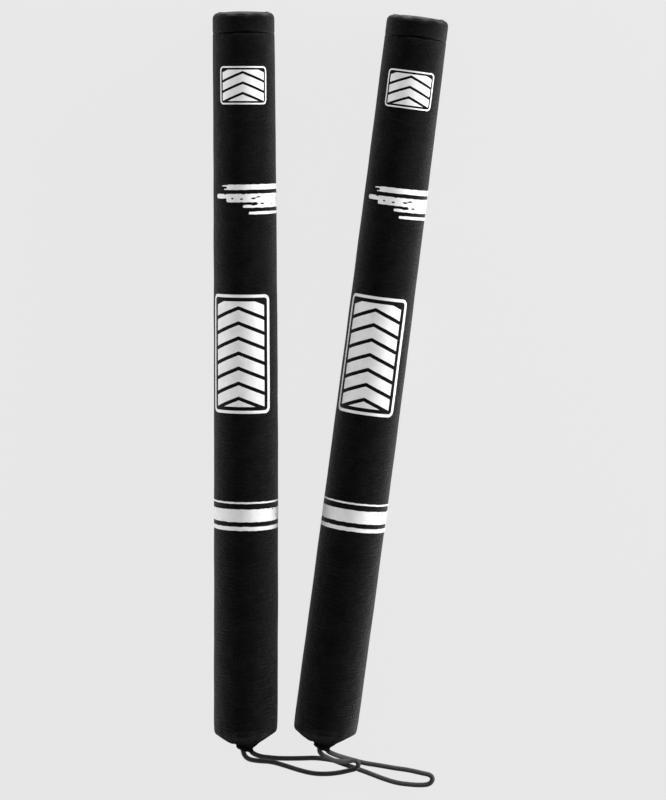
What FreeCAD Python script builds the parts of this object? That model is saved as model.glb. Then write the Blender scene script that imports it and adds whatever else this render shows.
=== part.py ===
"""A pair of padded focus training sticks, lying side by side on a level surface.

Each stick is a stiff plastic tube inside a thick foam sleeve and a stretch-fabric cover.
A sewn disc closes the cover's top end. Its other end is gathered to a small hemmed mouth,
and a braided wrist cord comes out of the mouth in a loop and goes back into it.

Row frame: millimetres, +Z up, the surface at z = 0, origin at the bottom centre of the two
sticks. Left stick along +Y, its gathered end towards -Y. Each stick is built in its own
frame, with its mouth at y = 0 and its axis along +Y, and is then turned and put in place.
"""
import FreeCAD, Part
import math
import os

V = FreeCAD.Vector

# ---- driving dimensions (millimetres, degrees) ----
STICK_LENGTH = 609.0        # mouth to top face, 24 inches
STICK_R = 26.0              # outside radius of the covered stick
FABRIC = 1.2                # thickness of the cover's fabric
FIT_GAP = 0.1               # radial gap between nested pieces

LEAN = 7.35                 # turn of the right stick about +Z, its top towards +X
MOUTH_SPACING_X = 64.0      # between the two mouths
MOUTH_STEP_Y = 1.0          # the right mouth lies this much further along +Y

TUBE_R = 11.0
TUBE_WALL = 2.2
TUBE_START = 10.5
TUBE_END = 588.0

FLANGE = 2.0                # thickness of both plugs' flanges
STEM_WALL = 1.5
BASE_STEM = 12.0
TOP_STEM = 16.0
CORD_HOLE_R = 5.25          # hole in the base plug, for both strands

CREASE_FROM_TOP = 17.0      # joint between the foam sleeve and the top foam disc
CREASE_GAP = 0.4
SHOULDER = 17.5             # where the gathered cone reaches the full radius
CORNER_R = 5.0              # rounded top edge of the cover
PANEL_R = 19.8
TOP_SEAM_W = 0.6
TOP_SEAM_SUNK = 0.2

MOUTH_R = 6.4               # opening of the gathered mouth
HEM_WALL = 1.2
HEM_HEIGHT = 4.0
GATHER_START = 1.6
GATHER_HEIGHT = 0.8
GATHER_DEPTH = 0.6

SEAM_WIDTH = 2.4
SEAM_DEPTH = 0.5
SEAM_START = 22.0
SEAM_END = 600.0
SEAM_DROP = 40.0            # the seam lies this far below the stick's left flank

CORD_R = 2.0
KNOT_R = 6.5
KNOT_START = 10.6
KNOT_HEIGHT = 12.0
KNOT_ROUNDING = 2.0
KNOT_TAIL = 6.0             # length of cord between the wrist cord's end and the knot's core
ARC_SHARE = 0.45            # share of the shorter run that each arc takes

# Routes of the wrist cords: x and y from the mouth's centre along the row's axes, and the
# height above the surface. Each goes from inside the mouth, round its loop and back in.
# The left loop lies over the right one where they cross.
LEFT_ROUTE = [
    (-2.6, 7.5, 24.4), (-3.0, -1.2, 23.6), (0.4, -8.9, 20.5), (9.5, -12.6, 12.5),
    (20.5, -14.8, 4.6), (31.5, -18.6, 2.0), (44.0, -22.8, 2.0), (56.5, -25.9, 2.0),
    (69.0, -26.1, 2.0), (79.0, -24.5, 3.2), (86.5, -21.9, 6.8), (92.6, -19.8, 9.4),
    (94.4, -15.4, 10.4), (91.4, -11.9, 11.0), (84.5, -13.0, 13.0), (77.0, -11.8, 17.2),
    (68.5, -9.2, 21.2), (58.0, -8.0, 20.8), (48.0, -9.8, 14.4), (38.0, -10.8, 10.8),
    (27.0, -10.4, 12.2), (17.0, -8.4, 17.0), (10.2, -6.4, 21.2), (2.8, -1.6, 23.6),
    (2.6, 7.5, 24.4)]
RIGHT_ROUTE = [
    (-1.6, 7.8, 24.4), (-3.1, -0.8, 23.6), (-1.6, -6.8, 16.2), (4.2, -11.9, 8.0),
    (13.0, -16.8, 3.0), (24.5, -21.0, 2.0), (37.0, -25.6, 2.0), (50.0, -30.8, 2.0),
    (62.0, -34.7, 2.0), (73.0, -36.1, 2.0), (82.5, -36.7, 2.0), (89.6, -36.0, 2.0),
    (92.8, -32.2, 2.0), (91.2, -27.9, 2.0), (83.0, -26.2, 2.0), (72.0, -23.6, 2.0),
    (60.0, -22.0, 2.0), (47.0, -19.6, 2.0), (34.0, -17.6, 2.0), (23.5, -14.2, 3.8),
    (16.0, -10.6, 10.4), (9.8, -6.8, 18.0), (2.3, -2.0, 23.6), (3.5, 7.1, 24.4)]

# ---- worked-out dimensions ----
COVER_INNER_R = STICK_R - FABRIC
FOAM_R = COVER_INNER_R - FIT_GAP
TUBE_BORE_R = TUBE_R - TUBE_WALL
STEM_R = TUBE_BORE_R - FIT_GAP
HEM_R = MOUTH_R + HEM_WALL
CREASE = STICK_LENGTH - CREASE_FROM_TOP
CORNER_START = STICK_LENGTH - CORNER_R
CORNER_CENTRE_R = STICK_R - CORNER_R
COVER_TOP_R = PANEL_R + TOP_SEAM_W
PANEL_START = STICK_LENGTH - FABRIC
CONE_SLOPE = (SHOULDER - HEM_HEIGHT) / (STICK_R - HEM_R)
CONE_SHIFT = FABRIC * math.sqrt(1.0 + CONE_SLOPE ** 2)


def cone_inside(radius):
    """Height of the gathered cone's inner surface at a radius."""
    return HEM_HEIGHT + CONE_SHIFT + (radius - HEM_R) * CONE_SLOPE


# ---- helpers ----
def turned(*outline):
    """Revolve a closed outline of (radius, y) corners about the stick's axis.

    A corner that holds two points is an arc: its middle point, then its end.
    """
    edges = []
    first = V(outline[0][0], outline[0][1], 0)
    here = first
    for corner in outline[1:] + (outline[0],):
        if isinstance(corner[0], tuple):
            middle = V(corner[0][0], corner[0][1], 0)
            there = V(corner[1][0], corner[1][1], 0)
            edges.append(Part.Arc(here, middle, there).toShape())
        else:
            there = V(corner[0], corner[1], 0)
            edges.append(Part.LineSegment(here, there).toShape())
        here = there
    face = Part.Face(Part.Wire(edges))
    solid = face.revolve(V(0, 0, 0), V(0, 1, 0), 360)
    solid.translate(V(0, 0, STICK_R))
    return solid


def ring(inner, outer, start, end):
    """A plain ring, or a disc where inner is 0, round the stick's axis."""
    return turned((inner, start), (outer, start), (outer, end), (inner, end))


def corner_arc(radius, outwards=True):
    """The rounded top edge at a distance from the corner's centre."""
    half = radius * math.sqrt(0.5)
    middle = (CORNER_CENTRE_R + half, CORNER_START + half)
    top = (CORNER_CENTRE_R, CORNER_START + radius)
    side = (CORNER_CENTRE_R + radius, CORNER_START)
    return (middle, top) if outwards else (middle, side)


# ---- pieces of one stick ----
def core_tube():
    return ring(TUBE_BORE_R, TUBE_R, TUBE_START, TUBE_END)


def top_plug():
    """A cup pressed into the tube, its closed face outwards."""
    stem_end = TUBE_END - TOP_STEM
    return turned((0, TUBE_END), (STEM_R - STEM_WALL, TUBE_END),
                  (STEM_R - STEM_WALL, stem_end), (STEM_R, stem_end), (STEM_R, TUBE_END),
                  (TUBE_R, TUBE_END), (TUBE_R, TUBE_END + FLANGE), (0, TUBE_END + FLANGE))


def base_plug():
    """The same kind of cup with a hole for the cord, which the knot can't pass."""
    face = TUBE_START - FLANGE
    stem_end = TUBE_START + BASE_STEM
    return turned((CORD_HOLE_R, face), (TUBE_R, face), (TUBE_R, TUBE_START),
                  (STEM_R, TUBE_START), (STEM_R, stem_end), (STEM_R - STEM_WALL, stem_end),
                  (STEM_R - STEM_WALL, TUBE_START), (CORD_HOLE_R, TUBE_START))


def foam_sleeve():
    start = cone_inside(FOAM_R) + CREASE_GAP
    return ring(TUBE_R + FIT_GAP, FOAM_R, start, CREASE - CREASE_GAP)


def top_foam_disc():
    edge = FOAM_R - CORNER_CENTRE_R
    return turned((0, CREASE), (FOAM_R, CREASE), (FOAM_R, CORNER_START),
                  corner_arc(edge), (0, CORNER_START + edge))


def side_seam():
    """A narrow flat seam let into the cover's surface, along the stick's lower left flank."""
    wide = 2 * STICK_R
    slot = Part.makeBox(wide, STICK_LENGTH, SEAM_WIDTH, V(0, 0, STICK_R - SEAM_WIDTH / 2))
    slot.rotate(V(0, 0, STICK_R), V(0, -1, 0), 180 + SEAM_DROP)
    return ring(STICK_R - SEAM_DEPTH, STICK_R, SEAM_START, SEAM_END).common(slot)


def cover_sleeve(seam):
    """The fabric tube: gathered cone, straight wall and turned-in top edge."""
    wall = turned((MOUTH_R, HEM_HEIGHT), (HEM_R, HEM_HEIGHT), (STICK_R, SHOULDER),
                  (STICK_R, CORNER_START), corner_arc(CORNER_R),
                  (COVER_TOP_R, STICK_LENGTH), (COVER_TOP_R, PANEL_START),
                  (CORNER_CENTRE_R, PANEL_START),
                  corner_arc(CORNER_R - FABRIC, outwards=False),
                  (COVER_INNER_R, cone_inside(COVER_INNER_R)),
                  (MOUTH_R, cone_inside(MOUTH_R)))
    return wall.cut(seam)


def cover_top_panel():
    return ring(0, PANEL_R, PANEL_START, STICK_LENGTH)


def top_seam():
    return ring(PANEL_R, COVER_TOP_R, PANEL_START, STICK_LENGTH - TOP_SEAM_SUNK)


def gather_thread():
    end = GATHER_START + GATHER_HEIGHT
    return ring(MOUTH_R, MOUTH_R + GATHER_DEPTH, GATHER_START, end)


def mouth_hem():
    return ring(MOUTH_R, HEM_R, 0, HEM_HEIGHT).cut(gather_thread())


def cord_path(corners):
    """Straight runs joined by tangent arcs, as one wire; also the arcs' radii."""
    edges = []
    radii = []
    here = corners[0]
    for before, corner, after in zip(corners, corners[1:], corners[2:]):
        back = (before - corner).normalize()
        ahead = (after - corner).normalize()
        half_turn = (math.pi - back.getAngle(ahead)) / 2
        cut = ARC_SHARE * min((before - corner).Length, (after - corner).Length)
        radius = cut / math.tan(half_turn)
        arc_start = corner + back * cut
        arc_end = corner + ahead * cut
        sag = radius / math.cos(half_turn) - radius
        arc_middle = corner + (back + ahead).normalize() * sag
        edges.append(Part.LineSegment(here, arc_start).toShape())
        edges.append(Part.Arc(arc_start, arc_middle, arc_end).toShape())
        radii.append(radius)
        here = arc_end
    edges.append(Part.LineSegment(here, corners[-1]).toShape())
    return Part.Wire(edges), radii


def wrist_cord(name, corners):
    path, radii = cord_path(corners)
    section = Part.Wire(Part.makeCircle(CORD_R, corners[0], corners[1] - corners[0]))
    cord = path.makePipeShell([section], True, False)
    expected = math.pi * CORD_R ** 2 * path.Length
    print(name, "length", round(path.Length, 1), "volume ratio",
          round(cord.Volume / expected, 4), "radii", [round(radius, 1) for radius in radii])
    return cord


def cord_knot():
    """The knot inside the base plug, without the two ends of cord that lead to it."""
    end = KNOT_START + KNOT_HEIGHT
    end_r = KNOT_R - KNOT_ROUNDING
    middle = (KNOT_START + end) / 2
    return turned((0, KNOT_START), (end_r, KNOT_START), ((KNOT_R, middle), (end_r, end)),
                  (0, end))


def cord_tail(end, before):
    """A short end of cord, from the wrist cord's end towards the knot."""
    return Part.makeCylinder(CORD_R, KNOT_TAIL, end, end - before)


# ---- both sticks ----
def build_stick(side, mouth, turn, route):
    """Every piece of one stick, in the row's frame, by node name."""
    seam = side_seam()
    pieces = {
        "core_tube": core_tube(), "top_plug": top_plug(), "base_plug": base_plug(),
        "foam_sleeve": foam_sleeve(), "top_foam_disc": top_foam_disc(),
        "cover_sleeve": cover_sleeve(seam), "cover_top_panel": cover_top_panel(),
        "top_seam": top_seam(), "side_seam": seam, "mouth_hem": mouth_hem(),
        "gather_thread": gather_thread(), "cord_knot": cord_knot()}
    for piece in pieces.values():
        piece.rotate(V(0, 0, 0), V(0, 0, 1), turn)
        piece.translate(mouth)
    corners = [V(x, y, z) + mouth for x, y, z in route]
    tails = [cord_tail(corners[0], corners[1]), cord_tail(corners[-1], corners[-2])]
    pieces["cord_knot"] = pieces["cord_knot"].fuse(tails).removeSplitter()
    pieces["wrist_cord"] = wrist_cord(side + "_wrist_cord", corners)
    return {side + "_" + name: piece for name, piece in pieces.items()}


def stick_places():
    """The two mouths' places, with the origin midway between the outer flanks."""
    lean = math.radians(LEAN)
    right_reach = MOUTH_SPACING_X + CORNER_START * math.sin(lean) + STICK_R * math.cos(lean)
    left_x = (STICK_R - right_reach) / 2
    left_y = -STICK_LENGTH / 2
    return (V(left_x, left_y, 0),
            V(left_x + MOUTH_SPACING_X, left_y + MOUTH_STEP_Y, 0))


def main():
    left_mouth, right_mouth = stick_places()
    nodes = build_stick("left", left_mouth, 0, LEFT_ROUTE)
    nodes.update(build_stick("right", right_mouth, -LEAN, RIGHT_ROUTE))
    os.makedirs("parts", exist_ok=True)
    for name, shape in nodes.items():
        print(name, "valid", shape.isValid(), "solids", len(shape.Solids),
              "volume", round(shape.Volume))
        shape.exportStep("parts/" + name + ".step")
    sticks = Part.makeCompound([shape for name, shape in nodes.items()
                                if not name.endswith("wrist_cord")])
    box = sticks.BoundBox
    print("mouths", left_mouth, right_mouth)
    print("box of the sticks", [round(value, 2) for value in (
        box.XMin, box.YMin, box.ZMin, box.XMax, box.YMax, box.ZMax)])


main()
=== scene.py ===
# %% [markdown]
# # Padded focus training sticks
#
# A coach holds a pair of these sticks for a boxer to strike at. Each one is a stiff tube
# inside thick foam and a black stretch-fabric cover with a white print. A sewn disc closes
# one end, and the other end is gathered to a small mouth with a braided wrist cord in it.
#
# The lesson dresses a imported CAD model. The model is loaded as a fixed frame, and every
# piece made here is placed from the frame's own boxes, so nothing is fitted by eye.

# %% Load the frame
import math

import bmesh
import bpy
from mathutils import Matrix, Vector, noise
from mathutils.bvhtree import BVHTree


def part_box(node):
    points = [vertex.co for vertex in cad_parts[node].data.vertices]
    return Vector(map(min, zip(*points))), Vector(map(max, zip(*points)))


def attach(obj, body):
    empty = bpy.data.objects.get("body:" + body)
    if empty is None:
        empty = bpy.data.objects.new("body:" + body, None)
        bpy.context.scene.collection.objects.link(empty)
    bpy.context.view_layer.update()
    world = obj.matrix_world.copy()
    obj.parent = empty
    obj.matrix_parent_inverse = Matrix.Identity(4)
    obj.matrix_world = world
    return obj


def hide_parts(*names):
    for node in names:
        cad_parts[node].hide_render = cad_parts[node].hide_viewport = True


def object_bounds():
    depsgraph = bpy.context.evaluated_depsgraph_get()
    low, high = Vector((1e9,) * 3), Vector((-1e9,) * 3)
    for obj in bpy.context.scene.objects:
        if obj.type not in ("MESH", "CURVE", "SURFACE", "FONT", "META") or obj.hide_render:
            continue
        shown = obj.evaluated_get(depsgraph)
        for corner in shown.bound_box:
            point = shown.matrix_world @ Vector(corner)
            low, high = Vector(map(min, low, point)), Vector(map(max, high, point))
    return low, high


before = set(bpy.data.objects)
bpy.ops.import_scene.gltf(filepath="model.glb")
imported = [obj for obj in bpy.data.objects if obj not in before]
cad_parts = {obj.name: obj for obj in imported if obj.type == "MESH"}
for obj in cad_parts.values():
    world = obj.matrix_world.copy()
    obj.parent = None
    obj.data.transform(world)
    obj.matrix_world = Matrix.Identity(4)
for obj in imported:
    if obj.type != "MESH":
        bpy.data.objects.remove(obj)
cad_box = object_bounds()
scene = bpy.context.scene
scene.view_settings.view_transform = "Standard"

MM = 0.001
SIDES = ("left", "right")

# %% [markdown]
# ## Where each stick lies
#
# Both sticks are the same, so each piece is made once, in a stick's own frame: the mouth at
# the origin, the axis along +Y and +Z up. A matrix for each stick then carries the finished
# mesh to its place. The hem and the top disc are round, so the centres of their boxes lie
# on the stick's axis, and two points on the axis are all that the matrix needs.

# %% A matrix for each stick
def centre_of(node):
    low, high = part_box(node)
    return (low + high) / 2


def stick_matrix(side):
    """Carries a stick's own frame to its place on the surface."""
    hem, disc = centre_of(side + "_mouth_hem"), centre_of(side + "_cover_top_panel")
    along = (disc - hem).normalized()
    across = along.cross(Vector((0, 0, 1)))
    turn = Matrix((across, along, Vector((0, 0, 1)))).transposed().to_4x4()
    return Matrix.Translation(hem - along * HEM_HEIGHT / 2) @ turn


HEM_HEIGHT = 4 * MM
STICK_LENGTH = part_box("left_cover_top_panel")[1].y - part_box("left_mouth_hem")[0].y
STICK_R = (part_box("left_cover_sleeve")[1].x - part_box("left_cover_sleeve")[0].x) / 2
PLACES = {side: stick_matrix(side) for side in SIDES}
MOUTHS = {side: PLACES[side].to_translation() for side in SIDES}
print("length", round(STICK_LENGTH, 4), "radius", round(STICK_R, 4), MOUTHS)

# %% [markdown]
# ## The camera
#
# The pair is seen from almost straight above, from far away, so the sticks keep parallel
# sides. A long lens on a distant camera gives that. The aim point is measured from the
# middle of the whole model's box.

# %% Make the camera
def add_object(name, data):
    """A new object in the scene."""
    made = bpy.data.objects.new(name, data)
    scene.collection.objects.link(made)
    return made


CAMERA_DISTANCE = 2.44
CAMERA_TILT = math.radians(5.8)
AIM_SHIFT = Vector((0.0021, 0.0069, 0))

box_middle = (Vector(cad_box[0]) + Vector(cad_box[1])) / 2
aim = box_middle + AIM_SHIFT
aim.z = STICK_R
camera_data = bpy.data.cameras.new("camera")
camera_data.sensor_fit = "VERTICAL"
camera_data.sensor_height = 36
camera_data.lens = 133.5
camera = add_object("camera", camera_data)
camera.rotation_euler = (-CAMERA_TILT, 0, 0)
camera.location = aim + CAMERA_DISTANCE * Vector(
    (0, math.sin(CAMERA_TILT), math.cos(CAMERA_TILT)))
scene.camera = camera
print("camera at", [round(value, 3) for value in camera.location])

# %% [markdown]
# ## Helpers for finishes
#
# A finish is a small tree of nodes round one shader. The helpers below keep each finish
# short. A number that is the same all over a surface is set on the shader itself.

# %% Material helpers
def new_finish(name, roughness, **settings):
    """A material with its shader, whose even numbers are set on the shader's sockets."""
    material = bpy.data.materials.new(name)
    material.use_nodes = True
    shader = material.node_tree.nodes["Principled BSDF"]
    shader.inputs["Roughness"].default_value = roughness
    for socket, value in settings.items():
        shader.inputs[socket.replace("_", " ")].default_value = value
    return material, material.node_tree, shader


def add_node(tree, kind, **values):
    """A node, with its properties or its inputs set by name."""
    node = tree.nodes.new(kind)
    for name, value in values.items():
        if hasattr(node, name):
            setattr(node, name, value)
        else:
            node.inputs[name.replace("_", " ")].default_value = value
    return node


def calculate(tree, operation, *values):
    """A math node between sockets or numbers."""
    node = tree.nodes.new("ShaderNodeMath")
    node.operation = operation
    for socket, value in zip(node.inputs, values):
        if isinstance(value, (int, float)):
            socket.default_value = value
        else:
            tree.links.new(value, socket)
    return node.outputs[0]


def mottle(tree, coordinates, scale, detail=3.0):
    """Soft uneven values from 0 to 1."""
    node = add_node(tree, "ShaderNodeTexNoise", Scale=scale, Detail=detail)
    tree.links.new(coordinates, node.inputs["Vector"])
    return node.outputs["Fac"]


def shade(tree, shader, factor, dark, light):
    """Colours the surface between two greys."""
    ramp = tree.nodes.new("ShaderNodeValToRGB")
    ramp.color_ramp.elements[0].position = 0.3
    ramp.color_ramp.elements[0].color = (*dark, 1)
    ramp.color_ramp.elements[1].position = 0.7
    ramp.color_ramp.elements[1].color = (*light, 1)
    tree.links.new(factor, ramp.inputs[0])
    tree.links.new(ramp.outputs[0], shader.inputs["Base Color"])


def raise_surface(tree, shader, height, distance, strength=1.0):
    """Lets a height in metres stand out of the surface."""
    bump = add_node(tree, "ShaderNodeBump", Distance=distance, Strength=strength)
    tree.links.new(height, bump.inputs["Height"])
    tree.links.new(bump.outputs[0], shader.inputs["Normal"])


def object_place(tree):
    """The metres of a place in the object's own coordinates."""
    return tree.nodes.new("ShaderNodeTexCoord").outputs["Object"]


def patterned(name, roughness, pattern, greys, relief, strength=1.0, **settings):
    """A finish whose colour and height both follow one pattern."""
    material, tree, shader = new_finish(name, roughness, **settings)
    tone = pattern(tree, object_place(tree))
    shade(tree, shader, tone, *greys)
    raise_surface(tree, shader, tone, relief, strength)
    return material


# %% [markdown]
# ## Helpers for pieces
#
# A piece starts in bmesh, becomes a mesh in the stick's own frame, and is then copied to
# each stick. The copy's place goes into its mesh, and the object stays at the origin.

# %% Piece helpers
def turn_and_reach(point):
    """A point's turn from the top of the stick and its distance from the axis."""
    return math.atan2(point.x, point.z), math.hypot(point.x, point.z)


def whole(builder):
    return builder.verts[:] + builder.edges[:] + builder.faces[:]


def lay_round(builder, sheet, radius, spot_of):
    """Writes the metres round and along a tube, from each vertex's turn and its place."""
    for face in builder.faces:
        spots = [spot_of(loop.vert) for loop in face.loops]
        furthest = max(around for around, _ in spots)
        for loop, (around, along) in zip(face.loops, spots):
            wraps = math.tau if furthest - around > math.pi else 0
            loop[sheet].uv = ((around + wraps) * radius, along)


def mesh_as_it_is(builder, name):
    mesh = bpy.data.meshes.new(name)
    builder.to_mesh(mesh)
    builder.free()
    return mesh


def mesh_from(builder, name):
    """Closes a bmesh as a smooth mesh whose faces point outwards."""
    bmesh.ops.recalc_face_normals(builder, faces=builder.faces)
    mesh = mesh_as_it_is(builder, name)
    mesh.shade_smooth()
    return mesh


def seen(maker):
    """An object as its modifiers make it."""
    return maker.evaluated_get(bpy.context.evaluated_depsgraph_get())


SHARP_FROM = math.radians(40)


def finished(mesh, thickness=0.0, levels=1):
    """The mesh with a wall's thickness, if it is a sheet, and one subdivision.

    Without the subdivision its rims stay sharp.
    """
    maker = add_object("maker", mesh)
    if thickness:
        wall = maker.modifiers.new("wall", "SOLIDIFY")
        wall.thickness = thickness
        wall.offset = -1
    if levels:
        rounding = maker.modifiers.new("rounding", "SUBSURF")
        rounding.levels = rounding.render_levels = levels
    result = bpy.data.meshes.new_from_object(seen(maker))
    bpy.data.objects.remove(maker)
    result.shade_smooth()
    if not levels:
        result.set_sharp_from_angle(angle=SHARP_FROM)
    return result


def place(mesh, name, side, slot, material, *nodes):
    """One stick's copy of a piece, which may stand for some of its CAD nodes."""
    copy = mesh.copy()
    copy.transform(PLACES[side])
    copy.materials.clear()
    copy.materials.append(material)
    piece = add_object(side + "_" + name, copy)
    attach(piece, side + "_stick")
    if nodes:
        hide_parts(*[side + "_" + node for node in nodes])
    return piece


# %% [markdown]
# ## The wrist cords
#
# A limp braided cord, 4 mm thick, leaves the mouth, runs round a loop on the surface and
# goes back in. Its route is a list of given points from the mouth, the same as in the
# CAD source, and a NURBS spline of order 3 makes one smooth line of them. The order and the
# end setting only hold when they are set after the points are there.

# %% The routes
CORD_R = 2 * MM
ROUTES = {
    "left": [
        (-2.6, 7.5, 24.4), (-3.0, -1.2, 23.6), (0.4, -8.9, 20.5), (9.5, -12.6, 12.5),
        (20.5, -14.8, 4.6), (31.5, -18.6, 2.0), (44.0, -22.8, 2.0), (56.5, -25.9, 2.0),
        (69.0, -26.1, 2.0), (79.0, -24.5, 3.2), (86.5, -21.9, 6.8), (92.6, -19.8, 9.4),
        (94.4, -15.4, 10.4), (91.4, -11.9, 11.0), (84.5, -13.0, 13.0), (77.0, -11.8, 17.2),
        (68.5, -9.2, 21.2), (58.0, -8.0, 20.8), (48.0, -9.8, 14.4), (38.0, -10.8, 10.8),
        (27.0, -10.4, 12.2), (17.0, -8.4, 17.0), (10.2, -6.4, 21.2), (2.8, -1.6, 23.6),
        (2.6, 7.5, 24.4)],
    "right": [
        (-1.6, 7.8, 24.4), (-3.1, -0.8, 23.6), (-1.6, -6.8, 16.2), (4.2, -11.9, 8.0),
        (13.0, -16.8, 3.0), (24.5, -21.0, 2.0), (37.0, -25.6, 2.0), (50.0, -30.8, 2.0),
        (62.0, -34.7, 2.0), (73.0, -36.1, 2.0), (82.5, -36.7, 2.0), (89.6, -36.0, 2.0),
        (92.8, -32.2, 2.0), (91.2, -27.9, 2.0), (83.0, -26.2, 2.0), (72.0, -23.6, 2.0),
        (60.0, -22.0, 2.0), (47.0, -19.6, 2.0), (34.0, -17.6, 2.0), (23.5, -14.2, 3.8),
        (16.0, -10.6, 10.4), (9.8, -6.8, 18.0), (2.3, -2.0, 23.6), (3.5, 7.1, 24.4)],
}
LINE_STEPS = 24


def cord_line(side):
    """Points along the smooth line of a wrist cord, in the shared frame."""
    curve = bpy.data.curves.new(side + "_route", "CURVE")
    curve.dimensions = "3D"
    curve.resolution_u = LINE_STEPS
    spline = curve.splines.new("NURBS")
    spline.points.add(len(ROUTES[side]) - 1)
    floor_point = Vector((MOUTHS[side].x, MOUTHS[side].y, 0))
    for point, offset in zip(spline.points, ROUTES[side]):
        point.co = (*(floor_point + Vector(offset) * MM), 1)
    spline.order_u = 3
    spline.use_endpoint_u = True
    route = bpy.data.objects.new(side + "_route", curve)
    line = bpy.data.meshes.new_from_object(route)
    points = [vertex.co.copy() for vertex in line.vertices]
    bpy.data.objects.remove(route)
    return points


def length_of(points):
    return sum((after - before).length for before, after in zip(points, points[1:]))


CORD_LINES = {side: cord_line(side) for side in SIDES}
for side in SIDES:
    print(side, "cord line", round(length_of(CORD_LINES[side]), 4), len(CORD_LINES[side]))

# %% [markdown]
# A braid is eight strands that wind one way, woven with eight that wind the other. On the
# surface they show as small diamonds. A circle is extruded from point to point along the
# line, and each ring's vertices move out where a strand lies on top. The surface also gets
# a UV map in metres, so that the yarn's fine lines follow the cord.

# %% Braid a cord along its line
RING_CORNERS = 48
BRAID_STRANDS = 8
BRAID_PITCH = 5.2 * MM
BRAID_LOW = 1.84 * MM
BRAID_RISE = 0.24 * MM


def strand_height(around, along):
    """How far a braid stands out, from 0 in a gap to 1 on top of a strand."""
    turns = BRAID_STRANDS * around / math.tau
    steps = BRAID_STRANDS * along / BRAID_PITCH / 2
    return math.sqrt(abs(math.sin(math.pi * (turns + steps))
                         * math.sin(math.pi * (turns - steps))))


def braided_cord(points, name):
    """A closed braided tube along a line of points."""
    builder = bmesh.new()
    heading = (points[1] - points[0]).normalized()
    side_way = heading.orthogonal().normalized()
    start = bmesh.ops.create_circle(builder, segments=RING_CORNERS, radius=CORD_R,
                                    cap_ends=False)["verts"]
    ring_edges = list(builder.edges)
    rings = [list(start)]
    for _ in points[1:]:
        made = bmesh.ops.extrude_edge_only(builder, edges=ring_edges)["geom"]
        rings.append([part for part in made if isinstance(part, bmesh.types.BMVert)])
        newest = set(rings[-1])
        ring_edges = [part for part in made if isinstance(part, bmesh.types.BMEdge)
                      and newest.issuperset(part.verts)]
    travelled = 0.0
    sheet = builder.loops.layers.uv.new("Cloth")
    spot = {}
    for count, (ring, point) in enumerate(zip(rings, points)):
        if count:
            travelled += (point - points[count - 1]).length
            ahead = points[min(count + 1, len(points) - 1)] - points[count - 1]
            turn = heading.rotation_difference(ahead.normalized())
            heading, side_way = turn @ heading, turn @ side_way
        other_way = heading.cross(side_way)
        for vertex in ring:
            around = math.atan2(vertex.co.y, vertex.co.x) % math.tau
            spot[vertex] = (around, travelled)
            radius = BRAID_LOW + BRAID_RISE * strand_height(around, travelled)
            vertex.co = point + radius * (math.cos(around) * side_way
                                          + math.sin(around) * other_way)
    lay_round(builder, sheet, CORD_R, lambda vertex: spot[vertex])
    bmesh.ops.holes_fill(builder, edges=builder.edges)
    return mesh_from(builder, name)


# %% [markdown]
# The cord's finish is black polyester yarn, a little lighter than the cover because its
# smooth filaments catch the light. Fine slanting lines stand for the filaments.

# %% The cord's finish
def ripple(tree, value, spacing):
    """A wave of height 0 to 1 that repeats at a spacing in metres."""
    wave = calculate(tree, "SINE", calculate(tree, "MULTIPLY", value, math.tau / spacing))
    return calculate(tree, "MULTIPLY_ADD", wave, 0.5, 0.5)


def cloth_place(tree):
    """The metres round and along a piece, from its own UV map."""
    layout = add_node(tree, "ShaderNodeUVMap", uv_map="Cloth")
    parts = tree.nodes.new("ShaderNodeSeparateXYZ")
    tree.links.new(layout.outputs[0], parts.inputs[0])
    return layout.outputs[0], parts.outputs["X"], parts.outputs["Y"]


YARN_GREYS = (0.009, 0.009, 0.010), (0.030, 0.030, 0.032)


def cord_finish():
    material, tree, shader = new_finish("braided_cord", 0.72, Specular_IOR_Level=0.35,
                                        Sheen_Weight=0.25, Sheen_Roughness=0.5)
    flat, around, along = cloth_place(tree)
    slant = calculate(tree, "ADD", around, along)
    filaments = ripple(tree, slant, 0.32 * MM)
    uneven = mottle(tree, flat, 900)
    tone = calculate(tree, "MULTIPLY", filaments, uneven)
    shade(tree, shader, tone, *YARN_GREYS)
    raise_surface(tree, shader, tone, 0.06 * MM)
    return material


CORD_FINISH = cord_finish()

# %% Make both cords
for side in SIDES:
    name = side + "_braided_cord"
    cord = add_object(name, braided_cord(CORD_LINES[side], name))
    cord.data.materials.append(CORD_FINISH)
    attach(cord, side + "_stick")
    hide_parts(side + "_wrist_cord")
    print(cord.name, len(cord.data.polygons), "faces")

# %% [markdown]
# ## The lie of the fabric
#
# A covered stick is not a perfect cylinder. It is a little thicker near the gathered end,
# bows by a millimetre, is flattened where it rests, its mouth sits slightly askew, and its
# closed end has a lumpy rim. The fabric pieces and the foam disc go through the same
# function, so they stay in their layers.

# %% How the padding settles
SHOULDER = 16.4 * MM
CREASE = STICK_LENGTH - 17 * MM
BOW = 1.0 * MM
NECK_SHIFT = 0.9 * MM
MOUTH_SLANT = math.tan(math.radians(16))
SHOULDER_TILT = 0.035
THICK_END = 0.60 * MM
THIN_END = -0.9 * MM
LUMP = 0.22 * MM
LUMP_SIZE = 38 * MM
RIM_LUMP = 2.0 * MM
LOWEST = -STICK_R + 0.05 * MM

# Where each of these starts and ends: distances from the mouth, or from the axis.
PADDING_FADE = (4 * MM, 26 * MM)
MOUTH_FADE = (4 * MM, 16 * MM)
MOUTH_EDGE = (7 * MM, 13 * MM)
SHOULDER_FADE = (15 * MM, 60 * MM)
SHOULDER_EDGE = (9 * MM, 20 * MM)
RIM_FADE = (STICK_LENGTH - 7 * MM, STICK_LENGTH - 1 * MM)
RIM_EDGE = (8 * MM, 20 * MM)


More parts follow.
